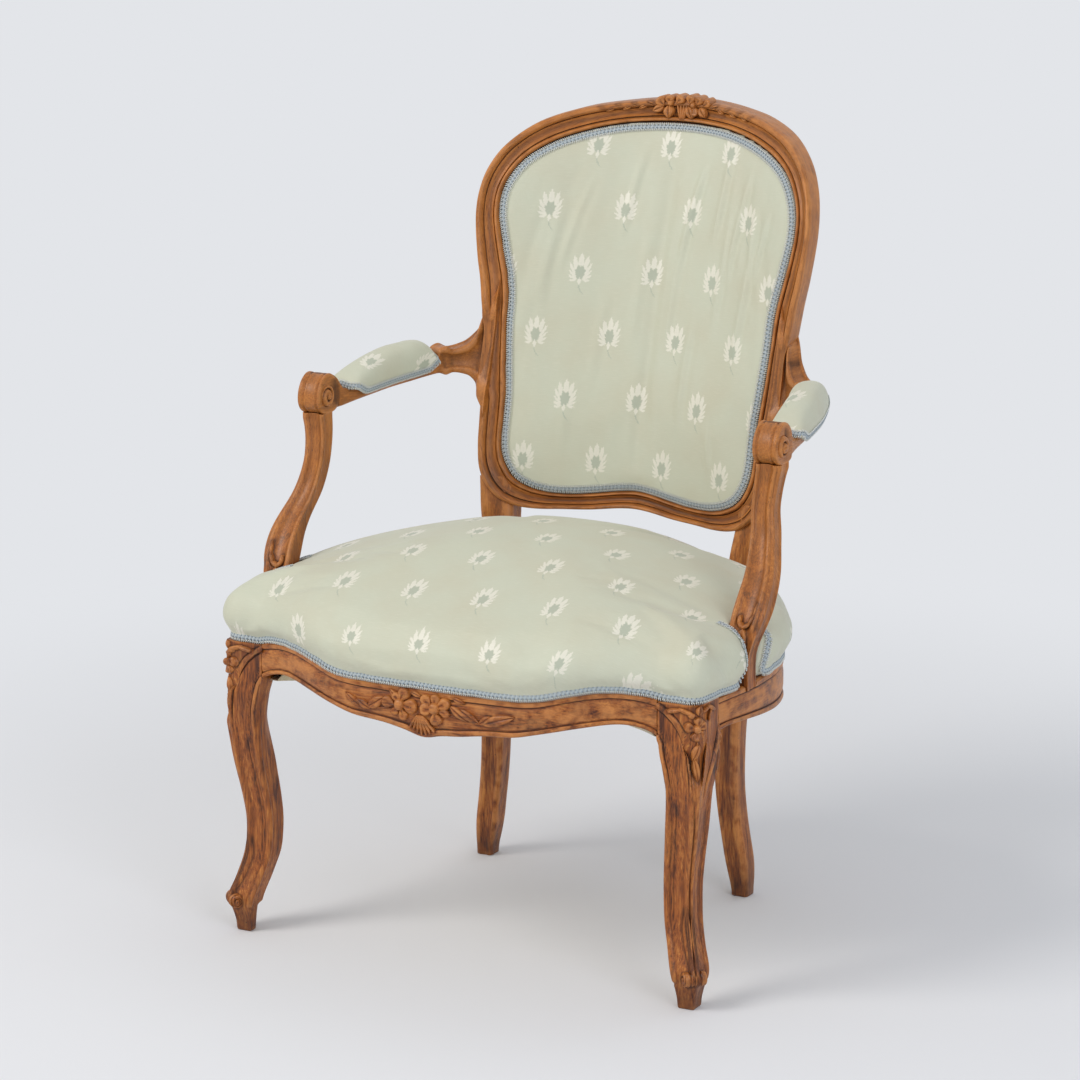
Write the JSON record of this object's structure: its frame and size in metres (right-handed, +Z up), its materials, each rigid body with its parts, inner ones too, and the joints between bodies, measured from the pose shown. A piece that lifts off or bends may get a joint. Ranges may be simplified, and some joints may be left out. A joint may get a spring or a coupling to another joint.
{
  "type": "upholstered open-arm chair",
  "caption": "Upholstered armchair with an open carved wood frame, a dished back, padded scrolled arms and S-curved front legs.",
  "frame": {"origin": "On the floor, under the middle of the chair's outer box.", "axes": "+Z up, +X towards the sitter's left hand, -Y the way the sitter faces."},
  "size_m": [0.627, 0.6674, 0.8969],
  "materials": {
    "walnut": "waxed walnut, red-brown, darker in the hollows and lighter on worn edges",
    "pale_wood": "plain unfinished beech for pegs and corner blocks",
    "damask": "sage and cream silk damask with a repeating leaf sprig",
    "gimp": "woven gimp braid in blue-grey with cream edges",
    "canvas": "plain undyed cotton and linen cloth",
    "webbing": "plain jute webbing",
    "stuffing": "curled hair stuffing"
  },
  "bodies": {
    "root": {"front_leg_left": "walnut", "front_leg_right": "walnut", "back_post_left": "walnut", "back_post_right": "walnut", "crest_rail": "walnut", "lower_back_rail": "walnut", "front_seat_rail": "walnut", "rear_seat_rail": "walnut", "side_seat_rail_left": "walnut", "side_seat_rail_right": "walnut", "arm_left": "walnut", "arm_right": "walnut", "arm_support_left": "walnut", "arm_support_right": "walnut", "peg_front_rail_left": "pale_wood", "peg_front_rail_right": "pale_wood", "peg_side_rail_front_left": "pale_wood", "peg_side_rail_front_right": "pale_wood", "peg_side_rail_rear_left": "pale_wood", "peg_side_rail_rear_right": "pale_wood", "peg_rear_rail_left": "pale_wood", "peg_rear_rail_right": "pale_wood", "peg_lower_rail_left": "pale_wood", "peg_lower_rail_right": "pale_wood", "peg_crest_left": "pale_wood", "peg_crest_right": "pale_wood", "front_corner_block_left": "pale_wood", "front_corner_block_right": "pale_wood", "rear_corner_block_left": "pale_wood", "rear_corner_block_right": "pale_wood", "seat_webbing_lengthwise_1": "webbing", "seat_webbing_lengthwise_2": "webbing", "seat_webbing_lengthwise_3": "webbing", "seat_webbing_lengthwise_4": "webbing", "seat_webbing_across_1": "webbing", "seat_webbing_across_2": "webbing", "seat_webbing_across_3": "webbing", "seat_webbing_across_4": "webbing", "seat_canvas": "canvas", "seat_stuffing": "stuffing", "seat_cover": "damask", "seat_gimp_front": "gimp", "seat_gimp_side_left": "gimp", "seat_gimp_side_right": "gimp", "dust_cover": "canvas", "back_canvas": "canvas", "back_webbing_1": "webbing", "back_webbing_2": "webbing", "back_webbing_3": "webbing", "back_stuffing": "stuffing", "back_cover": "damask", "back_gimp": "gimp", "outside_back_cover": "damask", "arm_pad_left": "damask", "arm_pad_right": "damask", "arm_gimp_outer_left": "gimp", "arm_gimp_outer_right": "gimp", "arm_gimp_inner_left": "gimp", "arm_gimp_inner_right": "gimp"}
  },
  "joints": []
}
